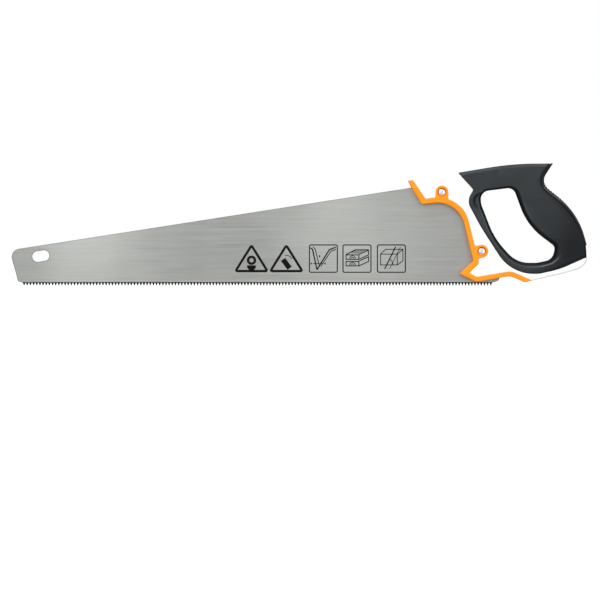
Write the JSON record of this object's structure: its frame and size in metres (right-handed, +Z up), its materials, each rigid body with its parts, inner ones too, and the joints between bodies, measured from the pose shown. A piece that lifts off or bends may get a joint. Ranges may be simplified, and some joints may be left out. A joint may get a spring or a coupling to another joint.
{
  "type": "hand saw",
  "caption": "Hand saw with a tapered toothed blade, hang slot at the toe, and a closed moulded handle held by two saw screws.",
  "frame": {"origin": "under the middle of the saw's length, on the blade's mid plane, at the level of the tooth tips", "axes": "+X from the toe of the blade towards the handle, +Z up from the teeth to the blade's back, Y through the blade's thickness with the screw heads on the -Y side"},
  "size_m": [0.6619, 0.0318, 0.1399],
  "materials": {
    "steel": "satin, ground along the blade, darker hardened teeth",
    "white_plastic": "smooth, low gloss",
    "charcoal_grip": "fine matte texture",
    "strap_grip": "matte, cross ribbed",
    "orange_trim": "smooth matte",
    "screw_metal": "bright plated"
  },
  "bodies": {
    "root": {"blade": "steel", "handle_core": "white_plastic", "soft_grip": "charcoal_grip", "back_strap": "strap_grip", "front_trim": "orange_trim", "upper_screw": "screw_metal", "lower_screw": "screw_metal", "upper_nut": "screw_metal", "lower_nut": "screw_metal"}
  },
  "joints": []
}
